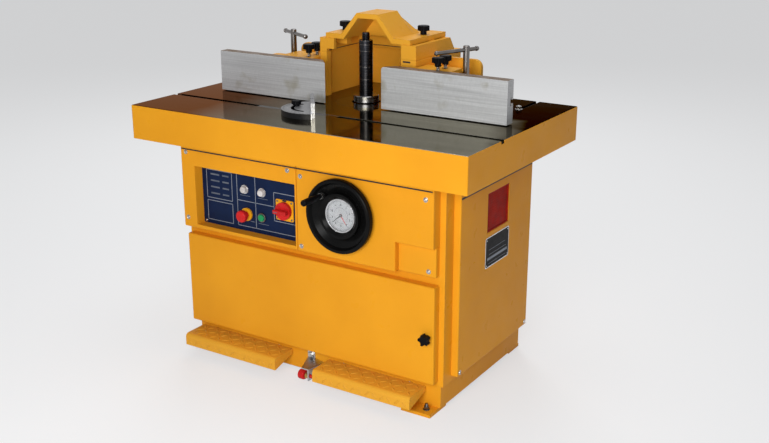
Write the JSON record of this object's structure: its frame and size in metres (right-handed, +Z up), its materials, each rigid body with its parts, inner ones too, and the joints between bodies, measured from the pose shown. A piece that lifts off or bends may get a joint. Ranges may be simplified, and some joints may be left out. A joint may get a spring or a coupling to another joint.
{
  "type": "spindle moulder",
  "caption": "Floor-standing spindle moulder: cast table on a sheet cabinet, raised spindle under a fence and hood, handwheel lift with dial, foot pedals and mitre gauge.",
  "frame": {"origin": "on the floor under the middle of the machine's bounding box", "axes": "+X along the table to the operator's right, +Y from the operator to the back, +Z up"},
  "size_m": [1.2, 0.816, 1.106],
  "materials": {
    "yellow_paint": "gloss",
    "blue_panel": "satin",
    "yellow_plastic": "gloss",
    "lamp_plastic": "gloss",
    "red_plastic": "gloss",
    "green_plastic": "gloss",
    "black_plastic": "satin",
    "black_gloss": "gloss",
    "table_iron": "ground",
    "grey_iron": "cast",
    "pulley_iron": "turned",
    "mitre_iron": "planed top, black sides",
    "dark_steel": "polished",
    "black_steel": "blackened",
    "bright_steel": "bright",
    "motor_paint": "satin",
    "belt_rubber": "matte",
    "dial_metal": "satin",
    "dial_white": "matte",
    "dial_glass": "clear",
    "tread_paint": "gloss, raised tread",
    "grey_paint": "satin",
    "fence_aluminium": "planed"
  },
  "bodies": {
    "machine": {"base_plinth": "yellow_paint", "cabinet_front": "yellow_paint", "cabinet_side_left": "yellow_paint", "cabinet_side_right": "yellow_paint", "rear_cover": "yellow_paint", "control_cover": "yellow_paint", "control_panel": "blue_panel", "switch_plates": "yellow_plastic", "indicator_lamps": "lamp_plastic", "wheel_cover": "yellow_paint", "right_side_cover": "yellow_paint", "left_side_cover": "yellow_paint", "table": "table_iron", "table_ring": "table_iron", "lift_frame": "grey_iron", "pedal_shaft": "bright_steel", "latch_bracket": "grey_paint"},
    "fence_unit": {"fence_body": "yellow_paint", "hood_shell": "yellow_paint", "hood_lid": "yellow_paint"},
    "hood_knob_left": {"hood_knob_left": "black_plastic"},
    "hood_knob_right": {"hood_knob_right": "black_plastic"},
    "carrier_left": {"carrier_left": "yellow_paint"},
    "carrier_right": {"carrier_right": "yellow_paint"},
    "carrier_knob_left_front": {"carrier_knob_left_front": "black_plastic"},
    "carrier_knob_left_rear": {"carrier_knob_left_rear": "black_plastic"},
    "carrier_knob_right_front": {"carrier_knob_right_front": "black_plastic"},
    "carrier_knob_right_rear": {"carrier_knob_right_rear": "black_plastic"},
    "fence_left": {"fence_left": "fence_aluminium"},
    "fence_right": {"fence_right": "fence_aluminium"},
    "t_handle_left": {"t_handle_left": "bright_steel"},
    "t_handle_right": {"t_handle_right": "bright_steel"},
    "carriage": {"quill_housing": "grey_iron", "spindle_bearings": "bright_steel", "motor": "motor_paint", "drive_belt": "belt_rubber"},
    "spindle": {"spindle_shaft": "dark_steel", "spacer_rings": "black_steel", "spindle_pulley": "pulley_iron"},
    "motor_rotor": {"motor_pulley": "pulley_iron"},
    "lift_screw": {"lift_screw": "bright_steel"},
    "handwheel": {"handwheel_shaft": "bright_steel", "handwheel": "black_gloss", "dial_case": "dial_metal", "dial_face": "dial_white", "dial_lens": "dial_glass"},
    "needle_red": {"needle_red": "red_plastic"},
    "needle_black": {"needle_black": "black_plastic"},
    "crank_grip": {"crank_grip": "black_plastic"},
    "estop_button": {"estop_button": "red_plastic"},
    "start_button": {"start_button": "green_plastic"},
    "main_switch": {"main_switch_handle": "red_plastic"},
    "lock_pedal": {"lock_pedal": "tread_paint"},
    "brake_pedal": {"brake_pedal": "tread_paint"},
    "latch_knob": {"latch_knob": "red_plastic"},
    "door": {"lower_door": "yellow_paint"},
    "door_knob": {"door_star_knob": "black_plastic"},
    "mitre": {"mitre_bar": "bright_steel"},
    "mitre_head": {"mitre_head": "mitre_iron"},
    "mitre_knob": {"mitre_knob": "black_plastic"}
  },
  "joints": [
    {"name": "fence_unit_slide", "type": "slide", "parent": "machine", "child": "fence_unit", "axis": [0, 1, 0], "range_m": [-0.02, 0.04]},
    {"name": "hood_knob_left_turn", "type": "hinge", "parent": "fence_unit", "child": "hood_knob_left", "pos_m": [-0.14, 0.167, 1.02], "axis": [0, 0, 1], "continuous": true},
    {"name": "hood_knob_right_turn", "type": "hinge", "parent": "fence_unit", "child": "hood_knob_right", "pos_m": [0.129, 0.211, 1.02], "axis": [0, 0, 1], "continuous": true},
    {"name": "carrier_left_slide", "type": "slide", "parent": "fence_unit", "child": "carrier_left", "axis": [0, 1, 0], "range_m": [-0.01, 0.01]},
    {"name": "carrier_right_slide", "type": "slide", "parent": "fence_unit", "child": "carrier_right", "axis": [0, 1, 0], "range_m": [-0.01, 0.01]},
    {"name": "carrier_knob_left_front_turn", "type": "hinge", "parent": "fence_unit", "child": "carrier_knob_left_front", "pos_m": [-0.216, 0.066, 0.956], "axis": [0, 0, 1], "continuous": true},
    {"name": "carrier_knob_left_rear_turn", "type": "hinge", "parent": "fence_unit", "child": "carrier_knob_left_rear", "pos_m": [-0.216, 0.112, 0.956], "axis": [0, 0, 1], "continuous": true},
    {"name": "carrier_knob_right_front_turn", "type": "hinge", "parent": "fence_unit", "child": "carrier_knob_right_front", "pos_m": [0.265, 0.066, 0.956], "axis": [0, 0, 1], "continuous": true},
    {"name": "carrier_knob_right_rear_turn", "type": "hinge", "parent": "fence_unit", "child": "carrier_knob_right_rear", "pos_m": [0.265, 0.112, 0.956], "axis": [0, 0, 1], "continuous": true},
    {"name": "fence_left_slide", "type": "slide", "parent": "carrier_left", "child": "fence_left", "axis": [1, 0, 0], "range_m": [-0.04, 0.04]},
    {"name": "fence_right_slide", "type": "slide", "parent": "carrier_right", "child": "fence_right", "axis": [1, 0, 0], "range_m": [-0.04, 0.04]},
    {"name": "t_handle_left_turn", "type": "hinge", "parent": "machine", "child": "t_handle_left", "pos_m": [-0.326, 0.132, 0.83], "axis": [0, 0, 1], "continuous": true},
    {"name": "t_handle_right_turn", "type": "hinge", "parent": "machine", "child": "t_handle_right", "pos_m": [0.326, 0.132, 0.83], "axis": [0, 0, 1], "continuous": true},
    {"name": "spindle_lift", "type": "slide", "parent": "machine", "child": "carriage", "axis": [0, 0, 1], "range_m": [-0.1002, 0.0002]},
    {"name": "motor_spin", "type": "hinge", "parent": "carriage", "child": "motor_rotor", "pos_m": [-0.23, 0.074, 0.42], "axis": [0, 0, 1], "continuous": true},
    {"name": "spindle_spin", "type": "hinge", "parent": "carriage", "child": "spindle", "pos_m": [0, 0.074, 0.83], "axis": [0, 0, 1], "continuous": true},
    {"name": "handwheel_turn", "type": "hinge", "parent": "machine", "child": "handwheel", "pos_m": [0.155, -0.29, 0.576], "axis": [0, -1, 0], "range_deg": [0, 3600]},
    {"name": "lift_screw_turn", "type": "hinge", "parent": "machine", "child": "lift_screw", "pos_m": [0.155, -0.018, 0.576], "axis": [0, 0, 1], "range_deg": [-2, 3602]},
    {"name": "needle_black_turn", "type": "hinge", "parent": "handwheel", "child": "needle_black", "pos_m": [0.155, -0.29, 0.576], "axis": [0, -1, 0], "range_deg": [-3602, 2]},
    {"name": "needle_red_turn", "type": "hinge", "parent": "handwheel", "child": "needle_red", "pos_m": [0.155, -0.29, 0.576], "axis": [0, -1, 0], "range_deg": [-3602, 2]},
    {"name": "crank_grip_spin", "type": "hinge", "parent": "handwheel", "child": "crank_grip", "pos_m": [0.0975, -0.29, 0.631], "axis": [0, -1, 0], "continuous": true},
    {"name": "estop_push", "type": "slide", "parent": "machine", "child": "estop_button", "axis": [0, 1, 0], "range_m": [0, 0.005], "stiffness_N_per_m": 900, "springref_m": -0.003},
    {"name": "start_push", "type": "slide", "parent": "machine", "child": "start_button", "axis": [0, 1, 0], "range_m": [0, 0.004], "stiffness_N_per_m": 600, "springref_m": -0.003},
    {"name": "main_switch_turn", "type": "hinge", "parent": "machine", "child": "main_switch", "pos_m": [-0.084, -0.252, 0.539], "axis": [0, -1, 0], "range_deg": [-90, 0]},
    {"name": "lock_pedal_press", "type": "hinge", "parent": "machine", "child": "lock_pedal", "pos_m": [0, -0.148, 0.052], "axis": [1, 0, 0], "range_deg": [0, 7], "stiffness_Nm_per_rad": 120, "springref_deg": -5.73},
    {"name": "brake_pedal_press", "type": "hinge", "parent": "machine", "child": "brake_pedal", "pos_m": [0, -0.148, 0.052], "axis": [1, 0, 0], "range_deg": [0, 7], "stiffness_Nm_per_rad": 120, "springref_deg": -5.73},
    {"name": "latch_pull", "type": "slide", "parent": "machine", "child": "latch_knob", "axis": [-1, 0, 0], "range_m": [0, 0.008], "stiffness_N_per_m": 900, "springref_m": -0.004},
    {"name": "door_swing", "type": "hinge", "parent": "machine", "child": "door", "pos_m": [-0.474, -0.26, 0.099], "axis": [0, 0, -1], "range_deg": [0, 110]},
    {"name": "door_knob_turn", "type": "hinge", "parent": "door", "child": "door_knob", "pos_m": [0.44, -0.252, 0.248], "axis": [0, -1, 0], "continuous": true},
    {"name": "mitre_slide", "type": "slide", "parent": "machine", "child": "mitre", "axis": [1, 0, 0], "range_m": [-0.34, 0.5]},
    {"name": "mitre_swivel", "type": "hinge", "parent": "mitre", "child": "mitre_head", "pos_m": [-0.045, -0.1595, 0.83], "axis": [0, 0, 1], "range_deg": [-85, 10]},
    {"name": "mitre_knob_turn", "type": "hinge", "parent": "mitre", "child": "mitre_knob", "pos_m": [-0.103, -0.1595, 0.83], "axis": [0, 0, 1], "continuous": true}
  ],
  "couplings": [
    {"joint": "spindle_lift", "follows": "handwheel_turn", "m_per_rad": -0.0015915},
    {"joint": "lift_screw_turn", "follows": "handwheel_turn", "ratio": 1},
    {"joint": "needle_black_turn", "follows": "handwheel_turn", "ratio": -1},
    {"joint": "needle_red_turn", "follows": "handwheel_turn", "ratio": -0.9},
    {"joint": "spindle_spin", "follows": "motor_spin", "ratio": 1.75}
  ]
}
